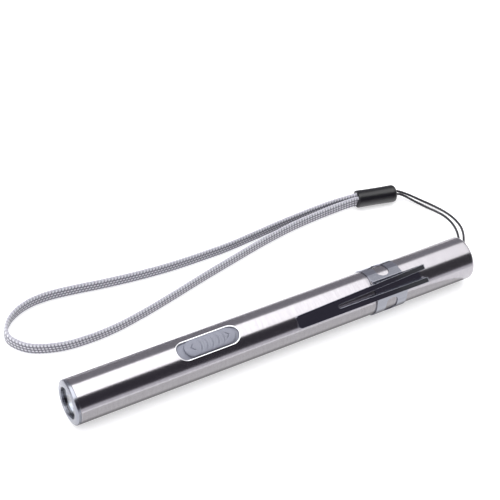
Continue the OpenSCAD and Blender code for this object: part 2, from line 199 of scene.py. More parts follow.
def noiseOn(tree, cycles, detail=3.0, roughness=0.55):
    # Fractal noise from 0 to 1 with this many cycles per metre along x, y and z
    return addNode(tree, "ShaderNodeTexNoise", {"Scale": 1.0, "Detail": detail, "Roughness": roughness},
                   {"Vector": objectPoint(tree, cycles)}).outputs["Fac"]


def evenNoise(tree, cycles, detail=3.0, roughness=0.55):
    # The same noise with one spacing in every direction
    return noiseOn(tree, (cycles, cycles, cycles), detail, roughness)


def rangeOf(tree, value, low, high, fromLow=0.3, fromHigh=0.7):
    # Carries a value from fromLow..fromHigh to low..high, and holds it at those ends
    span = {"From Min": fromLow, "From Max": fromHigh, "To Min": low, "To Max": high}
    return addNode(tree, "ShaderNodeMapRange", span, {"Value": value}).outputs["Result"]


def sumOf(tree, first, second):
    # Two node values added together
    return addNode(tree, "ShaderNodeMath", {"operation": "ADD"}, {0: first, 1: second}).outputs[0]


def storedValue(tree, name):
    # A number that the mesh carries for each vertex
    return addNode(tree, "ShaderNodeAttribute", {"attribute_name": name}).outputs["Fac"]


def mixColors(tree, factor, first, second, blend="MIX"):
    # Blends two colours: each is a hex text or another node's output
    node = tree.nodes.new("ShaderNodeMix")
    node.data_type = "RGBA"
    node.blend_type = blend
    for socket, value in ((node.inputs[6], first), (node.inputs[7], second)):
        if isinstance(value, str):
            socket.default_value = linearColor(value)
        else:
            tree.links.new(value, socket)
    if isinstance(factor, float):
        node.inputs[0].default_value = factor
    else:
        tree.links.new(factor, node.inputs[0])
    return node.outputs[2]


def bumpFrom(tree, shader, height, distance, strength):
    # Tilts the shading normal as if the surface rose by the distance where the height is one
    node = addNode(tree, "ShaderNodeBump", {"Distance": distance, "Strength": strength}, {"Height": height})
    tree.links.new(node.outputs["Normal"], shader.inputs["Normal"])


def brushedSteel(name):
    # 304 stainless brushed round the tube: streaks run round it and smear highlights along it
    material, tree, shader = newMaterial(name, Metallic=1.0, Anisotropic=0.75, Anisotropic_Rotation=0.25)
    grit = 0.42 * mm            # real grooves are about 0.03 mm; drawn coarser so that they show
    fine = noiseOn(tree, (1 / grit, 260, 260), 4.0, 0.7)
    coarse = noiseOn(tree, (1 / (1.1 * mm), 20, 20), 2.0)
    patch = evenNoise(tree, 60, 2.0)
    tone = mixColors(tree, rangeOf(tree, fine, 0.0, 0.3, 0.25, 0.75), "#B1AEB3", "#8A8789")
    tone = mixColors(tree, rangeOf(tree, coarse, 0.0, 0.04), tone, "#D6D3D5")
    tree.links.new(tone, shader.inputs["Base Color"])
    rough = sumOf(tree, rangeOf(tree, fine, 0.208, 0.24), rangeOf(tree, patch, -0.01, 0.015))
    tree.links.new(rough, shader.inputs["Roughness"])
    tangent = addNode(tree, "ShaderNodeTangent", {"direction_type": "RADIAL", "axis": "X"})
    tree.links.new(tangent.outputs[0], shader.inputs["Tangent"])
    bumpFrom(tree, shader, fine, 0.001 * mm, 0.25)
    return material


def polishedSteel(name, colour="#C9CACF", base=0.07, turning=0.25):
    # Stainless turned on a lathe and buffed: a sharp mirror with faint rings round the axis
    material, tree, shader = newMaterial(name, Metallic=1.0)
    rings = noiseOn(tree, (1 / (turning * mm), 90, 90), 3.0)
    smudge = evenNoise(tree, 220, 3.0)
    tone = mixColors(tree, rangeOf(tree, rings, 0.0, 0.3), colour, "#9FA1A8")
    tree.links.new(tone, shader.inputs["Base Color"])
    rough = sumOf(tree, rangeOf(tree, rings, base, base + 0.06), rangeOf(tree, smudge, 0.0, 0.05))
    tree.links.new(rough, shader.inputs["Roughness"])
    bumpFrom(tree, shader, rings, 0.002 * mm, 0.35)
    return material


def springSteel(name):
    # Nickel over rolled spring strip: near mirror, with faint rolling lines along the strip
    material, tree, shader = newMaterial(name, Metallic=1.0)
    rolled = noiseOn(tree, (70, 2600, 2600), 3.0)
    smudge = noiseOn(tree, (160, 300, 300), 4.0)
    tone = mixColors(tree, rangeOf(tree, rolled, 0.0, 0.35), "#B4B6C0", "#9699A4")
    tree.links.new(tone, shader.inputs["Base Color"])
    rough = sumOf(tree, rangeOf(tree, rolled, 0.05, 0.09), rangeOf(tree, smudge, 0.0, 0.06))
    tree.links.new(rough, shader.inputs["Roughness"])
    bumpFrom(tree, shader, rolled, 0.0015 * mm, 0.3)
    return material


def mouldedPlastic(name, colour, shade, rough=0.5, grain=0.25, bump=0.012, **shader):
    # Injection-moulded ABS with a spark-eroded grain: dull highlight over a fine speckle
    material, tree, bsdf = newMaterial(name, IOR=1.53, **shader)
    speckle = evenNoise(tree, 1 / (grain * mm), 4.0, 0.6)
    cloud = evenNoise(tree, 180, 2.0)
    tone = mixColors(tree, rangeOf(tree, speckle, 0.0, 0.5), colour, shade)
    tone = mixColors(tree, rangeOf(tree, cloud, 0.0, 0.3), tone, shade)
    tree.links.new(tone, bsdf.inputs["Base Color"])
    tree.links.new(rangeOf(tree, speckle, rough - 0.05, rough + 0.08), bsdf.inputs["Roughness"])
    bumpFrom(tree, bsdf, speckle, bump * mm, 0.6)
    return material


def plainMetal(name, colour, shade, rough=0.3, grain=0.3):
    # Turned, drawn or plated metal inside: soft highlight with small changes of tone
    material, tree, bsdf = newMaterial(name, Metallic=1.0)
    speckle = noiseOn(tree, (1 / (grain * mm), 900, 900), 3.0)
    tone = mixColors(tree, rangeOf(tree, speckle, 0.0, 1.0), colour, shade)
    tree.links.new(tone, bsdf.inputs["Base Color"])
    tree.links.new(rangeOf(tree, speckle, rough - 0.06, rough + 0.08), bsdf.inputs["Roughness"])
    bumpFrom(tree, bsdf, speckle, 0.003 * mm, 0.4)
    return material


# ---- camera ----

camera = dict(place=(-178.9 * mm, -172.5 * mm, 377.0 * mm), yaw=42.630, pitch=53.642, roll=17.595,
              lens=104.82, sensor=36)


def makeCamera():
    # Looks along its yaw (from +y towards +x) and pitch below level, then rolls about that line
    yaw, pitch, roll = (math.radians(camera[k]) for k in ("yaw", "pitch", "roll"))
    forward = Vector((math.sin(yaw) * math.cos(pitch), math.cos(yaw) * math.cos(pitch), -math.sin(pitch)))
    level = Vector((math.cos(yaw), -math.sin(yaw), 0))
    up = level.cross(forward)
    right = math.cos(roll) * level + math.sin(roll) * up
    top = -math.sin(roll) * level + math.cos(roll) * up
    turned = Matrix((right, top, -forward)).transposed().to_4x4()
    data = bpy.data.cameras.new("camera")
    data.lens = camera["lens"]
    data.sensor_width = camera["sensor"]
    data.clip_start = 0.01
    obj = placed("camera", data)
    obj.matrix_world = Matrix.Translation(camera["place"]) @ turned
    bpy.context.scene.camera = obj


makeCamera()
bpy.context.scene.view_settings.view_transform = "Standard"    # a filmic curve would grey the white table
print("camera set")


# ---- lanyard ----

lanyard = dict(cordDiameter=0.8 * mm, braidPitch=1.1 * mm, strapHeight=4.8 * mm, strapThickness=1.2 * mm,
               strapFuzz=0.2 * mm, coreThickness=0.86, coreHeight=0.965, edgeFrom=0.82,
               stitch=1.05 * mm, stitchPush=0.08 * mm, columns=4, columnStep=0.36, stitchSlant=0.3,
               sleeveFrom=(51.2, 35.2, 2.9), sleeveTurn=-10, sleeveRadius=2.9)

cordRoute = np.array([
    (65.1, 33.4, 2.9), (66.6, 33.1, 2.8), (69.6, 31.1, 2.1), (73.1, 28.2, 1.1), (76.3, 24.8, 0.7),
    (78.4, 20.6, 1.4), (78.9, 16.2, 2.9), (77.9, 11.6, 4.9), (75.7, 7.6, 6.8), (73.3, 4.3, 7.9),
    (71.6, 1.3, 7.9), (70.5, -0.6, 7.3), (69.2, -1.1, 7), (67.6, -1.1, 7), (66.8, -0.8, 7),
    (66.5, 0, 7), (66.8, 0.8, 7), (67.6, 1.1, 7), (69.2, 1.2, 7), (70.3, 2.1, 7.2),
    (71.5, 4.2, 7.6), (73.4, 7.4, 7.1), (75.3, 11.2, 5.6), (76.4, 15.2, 3.9), (76.4, 19, 2.4),
    (75.4, 22.3, 1.2), (73.7, 25.2, 0.7), (71.2, 28, 1.1), (68.5, 30.6, 2.1), (66.4, 31.9, 2.8),
    (64.9, 32.2, 2.9)]) * mm
strapRoute = np.array([
    (51.3, 35.9, 2.45), (49.3, 36.2, 2.45), (43, 36.5, 2.45), (36, 36.4, 2.45), (28, 36, 2.45),
    (20, 35.5, 2.45), (11, 34.7, 2.45), (2, 34, 2.45), (-8, 33.8, 2.45), (-19, 33.9, 2.45),
    (-30, 34.6, 2.45), (-41, 35.8, 2.45), (-51, 37.2, 2.45), (-60, 38, 2.45), (-67, 37.2, 2.45),
    (-72.6, 34.6, 2.45), (-75.6, 30.6, 2.45), (-75, 26.8, 2.45), (-70.4, 22.7, 2.45), (-62, 20.1, 2.45),
    (-53, 19.5, 2.45), (-44, 20, 2.45), (-34, 21.6, 2.45), (-23, 23.9, 2.45), (-11, 26.6, 2.45),
    (2, 29.3, 2.45), (14, 31.7, 2.45), (25, 33.4, 2.45), (35, 34.3, 2.45), (43, 34.7, 2.45),
    (49.1, 34.8, 2.45), (51.1, 34.5, 2.45)]) * mm


def cordMaterial():
    # Braided nylon cord, dyed black and waxed: a soft narrow shine broken by the braid, with painted shade
    # that darkens the grooves between its strands
    material, tree, shader = newMaterial("blackNylonCord", IOR=1.53, Specular_IOR_Level=0.4,
                                         Sheen_Weight=0.12, Sheen_Roughness=0.4)
    braid = storedValue(tree, "braid")
    # painted shade: the low grooves of the braid are coloured darker than its raised strands
    tone = mixColors(tree, braid, "#0B0A0E", "#26242B")
    tree.links.new(tone, shader.inputs["Base Color"])
    tree.links.new(rangeOf(tree, braid, 0.55, 0.38, 0, 1), shader.inputs["Roughness"])
    fibre = evenNoise(tree, 9000, 2.0)
    bumpFrom(tree, shader, fibre, 0.01 * mm, 0.5)
    return material


def storeValues(obj, name, grid):
    # One number for each vertex of a swept grid, then a half for the middle of each end
    data = obj.data.attributes.new(name, "FLOAT", "POINT")
    data.data.foreach_set("value", np.append(grid.ravel(), [0.5, 0.5]).astype(np.float32))


def sweptObject(name, path, side, up, body):
    # Carries a profile along a path (path + side * sideways + up * upward) and fans both ends shut
    sideways, upward = pathFrames(path)
    points = path[:, None, :] + side[..., None] * sideways[:, None, :] + up[..., None] * upward[:, None, :]
    rows, columns = points.shape[:2]
    here = np.arange(columns)
    following = (here + 1) % columns
    middle, last = rows * columns, (rows - 1) * columns
    nearEnd = np.stack([np.full(columns, middle), here, following], -1)
    farEnd = np.stack([np.full(columns, middle + 1), last + following, last + here], -1)
    points = np.concatenate([points.reshape(-1, 3), [points[0].mean(0), points[-1].mean(0)]])
    mesh = bpy.data.meshes.new(name)
    mesh.from_pydata(points.tolist(), [],
                     gridFaces(rows, columns, False, True).tolist() + nearEnd.tolist() + farEnd.tolist())
    work = bmesh.new()
    work.from_mesh(mesh)
    bmesh.ops.recalc_face_normals(work, faces=work.faces)
    work.to_mesh(mesh)
    work.free()
    mesh.polygons.foreach_set("use_smooth", np.ones(len(mesh.polygons), bool))
    obj = placed(name, mesh)
    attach(obj, body)
    return obj


def makeCord():
    # Round section whose radius rises and falls in two crossing helices, as a fine braid
    path, along = smoothPath(cordRoute, 0.16 * mm)
    around = 20
    a = np.linspace(0, 2 * math.pi, around, endpoint=False)[None, :]
    twist = along[:, None] / lanyard["braidPitch"] * 2 * math.pi
    braid = np.maximum(np.sin(3 * a + twist), np.sin(3 * a - twist))
    radius = lanyard["cordDiameter"] / 2 * (0.96 + 0.05 * braid)
    obj = sweptObject("wristCord", path, radius * np.cos(a), radius * np.sin(a), "cap")
    storeValues(obj, "braid", (braid + 1) / 2)
    obj.data.materials.append(cordMaterial())
    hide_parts("lanyard_cord")
    return obj, path, along


wristCord, cordPath, cordAlong = makeCord()


def strapMaterial():
    # Knitted white polyester webbing: bright plied stitches with painted shade in the hollows between them,
    # painted shade along both edges broken into dashes by the edge loops, and a fuzzy sheen
    material, tree, shader = newMaterial("whiteKnittedWebbing", IOR=1.5, Roughness=0.85,
                                         Specular_IOR_Level=0.25, Sheen_Weight=0.35, Sheen_Roughness=0.55)
    paintedHollowShade = storedValue(tree, "paintedHollowShade")
    paintedEdgeShade = storedValue(tree, "paintedEdgeShade")
    fibre = evenNoise(tree, 7000, 3.0)
    dirt = evenNoise(tree, 350, 3.0)
    # painted shade: the hollows between the raised stitches are coloured dark grey
    tone = mixColors(tree, rangeOf(tree, paintedHollowShade, 0.0, 1.0, 0.15, 0.8), "#E4E4EA", "#444252")
    # painted shade: both edges are coloured darker, in dashes where the loops lean over them
    tone = mixColors(tree, rangeOf(tree, paintedEdgeShade, 0.0, 0.8, 0.2, 0.8), tone, "#757381")
    tone = mixColors(tree, rangeOf(tree, fibre, 0.0, 0.3), tone, "#A9A8B4")
    tone = mixColors(tree, rangeOf(tree, dirt, 0.0, 0.12), tone, "#A9A7B4")
    tree.links.new(tone, shader.inputs["Base Color"])
    bumpFrom(tree, shader, fibre, 0.04 * mm, 0.7)
    return material


def makeStrap():
    # A flat section standing on edge, rounded at its edges, with columns of stitches raised on both faces
    path, along = smoothPath(strapRoute, 0.2 * mm)
    # the loose knit stands a little wider than the core that the route and the length are taken from
    high, thick = lanyard["strapHeight"] + 2 * lanyard["strapFuzz"], lanyard["strapThickness"]
    across = 34
    rise = np.linspace(-1, 1, across)
    half = thick / 2 * np.sqrt(np.clip(1 - np.abs(rise) ** 5, 0, 1)) * lanyard["coreThickness"]
    side = np.concatenate([half[1:], -half[::-1][1:]])
    up = np.concatenate([rise[1:], rise[::-1][1:]]) * high / 2 * lanyard["coreHeight"]
    sign = np.concatenate([np.ones(across - 1), -np.ones(across - 1)])
    column = (up / high + 0.5) * lanyard["columns"]
    phase = along[:, None] / lanyard["stitch"]
    inColumn = column[None, :] % 1.0 - 0.5
    # each column is a chain of slanted stitches, about a third of a stitch ahead of the column below it
    step = lanyard["columnStep"] * np.floor(column)[None, :]
    stitchWave = 0.5 + 0.5 * np.cos(2 * math.pi * (phase + step + lanyard["stitchSlant"] * inColumn))
    ridge = np.clip(1.9 * np.cos(math.pi * inColumn) - 0.75, 0, 1)
    raised = ridge * (0.15 + 0.85 * np.clip(1.5 * stitchWave, 0, 1))
    edge = np.clip((np.abs(up) / (high / 2) - lanyard["edgeFrom"]) / 0.1, 0, 1)[None, :]
    # the loops over each edge lean across it
    lean = np.cos(2 * math.pi * (phase + sign[None, :] * 0.22 * np.clip(side / (thick / 2), -1, 1)))
    relief = raised * (1 - edge) + (0.6 + 0.4 * lean) * edge
    push = lanyard["stitchPush"] * relief
    sideOut = side[None, :] + np.sign(side)[None, :] * push * (1 - 0.7 * edge)
    upOut = up[None, :] + np.sign(up)[None, :] * push * edge * 0.1 + lanyard["strapFuzz"] / 2
    obj = sweptObject("wristStrap", path, sideOut, upOut, "cap")
    # painted shade for the hollows between the raised stitches
    paintedHollowShade = (1 - raised) * (1 - edge) + 0.15 * (1 - relief) * edge
    storeValues(obj, "paintedHollowShade", paintedHollowShade)
    # painted shade along both edges, broken into dashes by the leaning loops
    storeValues(obj, "paintedEdgeShade", (0.8 - 0.2 * lean) * edge)
    obj.data.materials.append(strapMaterial())
    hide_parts("lanyard_strap")
    return obj, path, along


wristStrap, strapPath, strapAlong = makeStrap()


def makeSleeve():
    # Heat-shrunk end sleeve: square at the strap's end and rounded at the cord's, with a faint waist
    x = np.linspace(0.35, 12.9, 40)
    waist = lanyard["sleeveRadius"] - 0.09 * np.sin(np.pi * (x - 0.35) / 12.55)
    outline = profile((0, 0.4), (0, 2.45), arc(0.35, 2.55, 0.35, 180, 90), np.stack([x, waist], -1)[1:-1],
                      arc(12.95, 1.85, 1.05, 90, 0, 8), (14, 0.4), (13.2, 0.3), (0.8, 0.3))
    centre = np.array(lanyard["sleeveFrom"]) * mm
    obj = lathe("cordSleeve", outline, "cap", 96, centre, math.radians(lanyard["sleeveTurn"]))
    material, tree, shader = newMaterial("blackShrinkTube", IOR=1.5, Coat_Weight=0.15, Coat_Roughness=0.25)
    cloud = evenNoise(tree, 500, 3.0)
    grain = evenNoise(tree, 4000, 3.0)
    tone = mixColors(tree, rangeOf(tree, cloud, 0.0, 1.0), "#07060A", "#0E0D13")
    tree.links.new(tone, shader.inputs["Base Color"])
    tree.links.new(rangeOf(tree, grain, 0.3, 0.42), shader.inputs["Roughness"])
    bumpFrom(tree, shader, cloud, 0.05 * mm, 0.35)
    obj.data.materials.append(material)
    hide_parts("lanyard_sleeve")
    return obj


cordSleeve = makeSleeve()


# ---- bezel, cap and the other turned pieces ----

bezel = dict(noseX=-69.2, noseLength=0.78, openingRadius=5.42, noseRise=1.58)


def makeBezel():
    # Turned: a nose that is a quarter ellipse from the opening to full diameter, and the lens seat inside
    turn = np.radians(np.linspace(2, 88, 16))
    nose = np.stack([bezel["noseX"] - bezel["noseLength"] * np.cos(turn),
                     bezel["openingRadius"] + bezel["noseRise"] * np.sin(turn)], -1)
    outline = profile((-69.05, 4.8), (-69.7, 4.86), (-69.9, 5.02), (-69.98, 5.2), nose,
                      arc(-68.62, 6.88, 0.12, 90, 0, 4), (-68.5, 6.45),
                      (-60.9, 6.45), (-60.9, 6.0), (-69.0, 6.0), (-69.0, 4.85))
    obj = lathe("lampBezel", outline, "barrel", 192)
    obj.data.materials.append(polishedSteel("polishedStainlessBezel", "#94969F", 0.2))
    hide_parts("bezel")


def makeCap():
    # Drawn tube closed at the tail: rolled shoulder, end wall with a round hole, plain bore
    wall = np.stack([np.linspace(33, 68.6, 26), np.full(26, 7.0)], -1)
    outline = profile((32.15, 6.5), (32.15, 6.86), arc(32.27, 6.88, 0.12, 180, 90, 4), wall,
                      arc(69.0, 6.0, 1.0, 90, 8, 10), (70.0, 5.6), (70.0, 4.78),
                      arc(69.85, 4.75, 0.15, 0, -90, 4)[1:], (69.42, 4.6), (69.4, 4.62), (69.4, 6.3),
                      (69.2, 6.5))
    obj = lathe("tailCap", outline, "cap", 192)
    obj.data.materials.append(steelTube)
    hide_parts("cap_tube")


def makeTailPlug():
    # Moulded plug with a rounded recess that the cord's pin stands across
    outline = profile((63.8, 0.3), (63.8, 6.2), (64.0, 6.42), (69.1, 6.42), (69.35, 6.2), (69.35, 4.55),
                      (69.66, 4.5), arc(69.55, 3.95, 0.15, 90, 180, 3), (69.35, 3.8), (66.4, 3.8),
                      arc(66.4, 3.0, 0.8, 90, 180, 6), (65.6, 0.3))
    obj = lathe("tailPlug", outline, "cap", 96)
    obj.data.materials.append(mouldedPlastic("blackMouldedTail", "#17161A", "#232227", 0.45))
    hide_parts("tail_plug")


pinX = 67.6 * mm


def makePin():
    # Upright steel pin with slightly domed ends
    around = 24
    z = np.array([-5.3, -5.3, -5.22, -5.0, 5.0, 5.22, 5.3, 5.3]) * mm
    r = np.array([0.02, 0.4, 0.54, 0.59, 0.59, 0.54, 0.4, 0.02]) * mm
    a = np.linspace(0, 2 * math.pi, around, endpoint=False)
    x = pinX + r[:, None] * np.cos(a)
    y = r[:, None] * np.sin(a)
    points = np.stack([x, y, np.repeat(z[:, None] + axisHeight, around, 1)], -1).reshape(-1, 3)
    faces = gridFaces(len(z), around, False, True)
    ends = [list(range(around))[::-1], list(range((len(z) - 1) * around, len(z) * around))]
    mesh = bpy.data.meshes.new("cordPin")
    mesh.from_pydata(points.tolist(), [], faces.tolist() + ends)
    mesh.polygons.foreach_set("use_smooth", np.ones(len(mesh.polygons), bool))
    mesh.set_sharp_from_angle(angle=math.radians(50))
    obj = placed("cordPin", mesh)
    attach(obj, "cap")
    obj.data.materials.append(polishedSteel("polishedPin", turning=0.1))
    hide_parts("lanyard_pin")


steelTube = brushedSteel("brushedStainlessTube")
makeBezel()
makeCap()
makeTailPlug()
makePin()
print("turned pieces made")


# ---- barrel, with the switch's window ----

barrel = dict(startX=-68.5 * mm, endX=32.1 * mm, windowX=-25.4 * mm, windowLength=20.6 * mm,
              windowWidth=5.8 * mm, lip=0.35 * mm, land=0.27 * mm, bore=6.5 * mm,
              patchHalfX=13.4 * mm, patchHalfAngle=math.radians(40), patchColumns=24, patchRows=20,
              fanRows=8, stationsBefore=21, endRounding=0.12 * mm)


def stadiumRing(halfLength, radius, straight=barrel["patchColumns"], bend=barrel["patchRows"]):
    # Points along a stadium's outline (side, end, side, end), and each one's outward normal
    reach = halfLength - radius
    u = np.linspace(reach, -reach, straight + 1)[:-1]
    b = np.linspace(0, math.pi, bend + 1)[:-1]
    x = np.concatenate([u, -reach - radius * np.sin(b), -u, reach + radius * np.sin(b)])
    y = np.concatenate([np.full(straight, radius), radius * np.cos(b),
                        np.full(straight, -radius), -radius * np.cos(b)])
    nx = np.concatenate([np.zeros(straight), -np.sin(b), np.zeros(straight), np.sin(b)])
    ny = np.concatenate([np.ones(straight), np.cos(b), -np.ones(straight), -np.cos(b)])
    return x, y, nx, ny


def rectangleRing(halfX, halfAngle, straight=barrel["patchColumns"], bend=barrel["patchRows"]):
    # The same count of points round a rectangle, its corners where the stadium's sides meet its ends
    u = np.linspace(halfX, -halfX, straight + 1)[:-1]
    a = np.linspace(halfAngle, -halfAngle, bend + 1)[:-1]
    return (np.concatenate([u, np.full(bend, -halfX), -u, np.full(bend, halfX)]),
            np.concatenate([np.full(straight, halfAngle), a, np.full(straight, -halfAngle), -a]))


def dropOn(x, across, radius):
    # A plan point (x, across) dropped straight down onto a cylinder round the tube's axis
    return np.stack(np.broadcast_arrays(x, across, np.sqrt(np.maximum(radius ** 2 - across ** 2, 0))), -1)


def wrapOn(x, angle, radius):
    # A point at a station along the axis and an angle round it
    return np.stack(np.broadcast_arrays(x, radius * np.sin(angle), radius * np.cos(angle)), -1)


def windowSurface():
    # Outside: quads fan from the window's rounded lip to a rectangle. Inside: the same on the bore
    outer, bore, lip, wx = tubeRadius, barrel["bore"], barrel["lip"], barrel["windowX"]
    x, y, nx, ny = stadiumRing(barrel["windowLength"] / 2, barrel["windowWidth"] / 2)
    rx, ra = rectangleRing(barrel["patchHalfX"], barrel["patchHalfAngle"])
    rows = []
    rimX = x + nx * lip
    rimAngle = np.arcsin((y + ny * lip) / outer)
    for t in np.linspace(1, 0, barrel["fanRows"] + 1)[:-1]:
        rows.append(wrapOn(wx + rimX * (1 - t) + rx * t, rimAngle * (1 - t) + ra * t, outer))
    # a narrow land pressed level all round the window, then a rounded edge
    for out, level, fall in ((lip, 0.0, 0), (lip - 0.03 * mm, 0.5, 0.005), (barrel["land"], 1.0, 0.01),
                             (0.2 * mm, 1.0, 0.01), (0.08 * mm, 1.0, 0.012), (0.03 * mm, 1.0, 0.03),
                             (0.0, 1.0, 0.08)):
        across = y + ny * out
        onTube = np.sqrt(outer ** 2 - across ** 2)
        landHeight = np.sqrt(outer ** 2 - (y + ny * barrel["land"]) ** 2)
        height = onTube * (1 - level) + landHeight * level - fall * mm
        rows.append(np.stack([wx + x + nx * out, across, height], -1))
    rows.append(dropOn(wx + x, y, bore))
    boreAngle = np.arcsin(y / bore)
    for t in np.linspace(0, 1, barrel["fanRows"] + 1)[1:]:
        rows.append(wrapOn(wx + x * (1 - t) + rx * t, boreAngle * (1 - t) + ra * t, bore))
    rows = np.stack(rows)
    return rows.reshape(-1, 3), gridFaces(len(rows), rows.shape[1], False, True)


def facesOnLand(mesh):
    # True for each face whose middle lies outside the window by less than the lip, and above the bore
    middle = np.empty(len(mesh.polygons) * 3, np.float32)
    mesh.polygons.foreach_get("center", middle)
    middle = middle.reshape(-1, 3)
    c, s = math.cos(switchTurn), math.sin(switchTurn)
    across = middle[:, 1] * c + (middle[:, 2] - axisHeight) * s
    height = (middle[:, 2] - axisHeight) * c - middle[:, 1] * s
    reach = (barrel["windowLength"] - barrel["windowWidth"]) / 2
    beyond = np.maximum(np.abs(middle[:, 0] - barrel["windowX"]) - reach, 0)
    offset = np.hypot(beyond, across) - barrel["windowWidth"] / 2
    return ((offset > -0.01 * mm) & (offset < barrel["lip"]) & (height > 0)
            & (np.hypot(across, height) > barrel["bore"] + 0.15 * mm))


def makeBarrel():
    # The window's surface, then plain rings of the tube and its bore round it, and a rounded edge at each end
    outer, bore, rounding = tubeRadius, barrel["bore"], barrel["endRounding"]
    half, before, columns = barrel["patchHalfAngle"], barrel["stationsBefore"], barrel["patchColumns"]
    grids = [windowSurface()]
    patchX = barrel["windowX"] + np.linspace(-barrel["patchHalfX"], barrel["patchHalfX"], columns + 1)
    stations = np.concatenate([np.linspace(barrel["startX"] + rounding, patchX[0], before + 1)[:-1], patchX,
                               np.linspace(patchX[-1], barrel["endX"] - rounding, 34)[1:]])
    angles = np.concatenate([np.linspace(-half, half, barrel["patchRows"] + 1),
                             np.linspace(half, 2 * math.pi - half, 97)[1:-1]])
    inPatch = np.zeros((len(stations) - 1, len(angles)), bool)
    inPatch[before:before + columns, :barrel["patchRows"]] = True
    for radius in (outer, bore):
        points = wrapOn(stations[:, None], angles[None, :], radius)
        faces = gridFaces(len(stations), len(angles), False, True)
        grids.append((points.reshape(-1, 3), faces[~inPatch.ravel()]))
    for end, out in ((stations[0], -mm), (stations[-1], mm)):
        edge = np.array([[end, outer], [end + 0.04 * out, outer - 0.01 * mm],
                         [end + 0.09 * out, outer - 0.05 * mm], [end + 0.12 * out, outer - 0.13 * mm],
                         [end + 0.12 * out, bore], [end, bore]])
        points = wrapOn(edge[:, 0][:, None], angles[None, :], edge[:, 1][:, None])
        grids.append((points.reshape(-1, 3), gridFaces(len(edge), len(angles), False, True)))
    points, faces = joinGrids(grids)
    obj = meshObject("barrelTube", turnAboutTube(points, switchTurn), faces, "barrel", 28)
    obj.data.materials.append(steelTube)
    obj.data.materials.append(polishedSteel("polishedWindowLand", "#E2E2E6", 0.12))
    obj.data.polygons.foreach_set("material_index", facesOnLand(obj.data).astype(np.int32))
    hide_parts("barrel_tube")


makeBarrel()
print("barrel made")


# ---- switch slider ----

slider = dict(centreX=-24.8 * mm, halfLength=8.45 * mm, radius=2.65 * mm, top=7.36 * mm, rounding=0.42 * mm,
              ridgePitch=1.9 * mm, ridgesEachSide=2, ridgeRise=0.195 * mm, ridgeBow=0.42 * mm,
              ridgeHalf=1.75 * mm, ridgeWidth=0.3 * mm, grooveDepth=0.15 * mm, grooveAfter=0.55 * mm,
              grooveWidth=0.2 * mm, chevronX=6.35 * mm, chevronDepth=0.288 * mm, chevronWidth=0.17 * mm,
              chevronHalf=1.25 * mm, chevronSlope=0.95,
              flangeTop=6.3 * mm, flangeBottom=5.85 * mm, flangeCentre=-0.9 * mm, flangeHalf=12.9 * mm,
              flangeRadius=3.5 * mm)


def bell(distance, width):
    # A smooth rise of height one: exp of minus the fourth power of distance over width
    return np.exp(-(distance / width) ** 4)


def makeSlider():
    # Top: a crown that rounds down at its rim, with bowed ridges, a groove after each, a chevron at each end
    s = slider
    straight, bend = 168, 30
    reach = s["halfLength"] - s["radius"]
    rows = []
    for ring in np.linspace(0, 1, 35):
        inset = 1 - (1 - ring) ** 1.5
        x, y, _, _ = stadiumRing(reach + s["radius"] * inset, s["radius"] * inset + 1e-9, straight, bend)
        edgeGap = s["radius"] * (1 - inset)
        overEdge = max(0.0, 1 - edgeGap / s["rounding"])
        fall = s["rounding"] * (1 - math.sqrt(1 - overEdge ** 2)) * 0.8
        crown = np.sqrt(s["top"] ** 2 - y ** 2) - 0.04 * mm * (x / s["halfLength"]) ** 2
        bowed = x - s["ridgeBow"] * (1 - (y / (1.7 * mm)) ** 2)
        nearest = np.clip(np.round(bowed / s["ridgePitch"]), -s["ridgesEachSide"], s["ridgesEachSide"])
        fromRidge = bowed - nearest * s["ridgePitch"]
        ridge = bell(fromRidge, s["ridgeWidth"]) * bell(y, s["ridgeHalf"])
        groove = bell(fromRidge - s["grooveAfter"], s["grooveWidth"]) * bell(y, s["ridgeHalf"])
        tips = s["chevronX"] - np.abs(x)
        chevron = bell(tips - s["chevronSlope"] * np.abs(y), s["chevronWidth"]) * bell(y, s["chevronHalf"])
        height = (crown - fall + s["ridgeRise"] * ridge - s["grooveDepth"] * groove
                  - s["chevronDepth"] * chevron)
        rows.append(np.stack([s["centreX"] + x, y, height], -1))
    # the flange under the window: out along its top, then back under it to the middle
    x, y, _, _ = stadiumRing(s["halfLength"], s["radius"], straight, bend)
    rows.append(dropOn(s["centreX"] + x, y, s["flangeTop"]) + np.array([0, 0, 0.02 * mm]))
    fx, fy, _, _ = stadiumRing(s["flangeHalf"], s["flangeRadius"], straight, bend)
    for t in (0.15, 0.5, 0.93, 1.0):
        radius = s["flangeTop"] - (0.06 * mm if t == 1.0 else 0)
        alongTube = s["centreX"] + x * (1 - t) + (fx + s["flangeCentre"]) * t
        rows.append(dropOn(alongTube, y * (1 - t) + fy * t, radius))
    for t in (1.0, 0.6, 0.3, 0.1, 0.0):
        rows.append(dropOn(s["centreX"] + s["flangeCentre"] + fx * t, fy * t, s["flangeBottom"]))
    rows = np.stack(rows)
    obj = meshObject("switchSlider", turnAboutTube(rows.reshape(-1, 3), switchTurn),
                     gridFaces(len(rows), rows.shape[1], False, True), "switch", 40)
    obj.data.materials.append(mouldedPlastic("greyMouldedSlider", "#7C7E8A", "#686A76", 0.5, 0.16, 0.03))
    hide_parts("switch_slider")


makeSlider()
print("slider made")


# ---- pocket clip ----

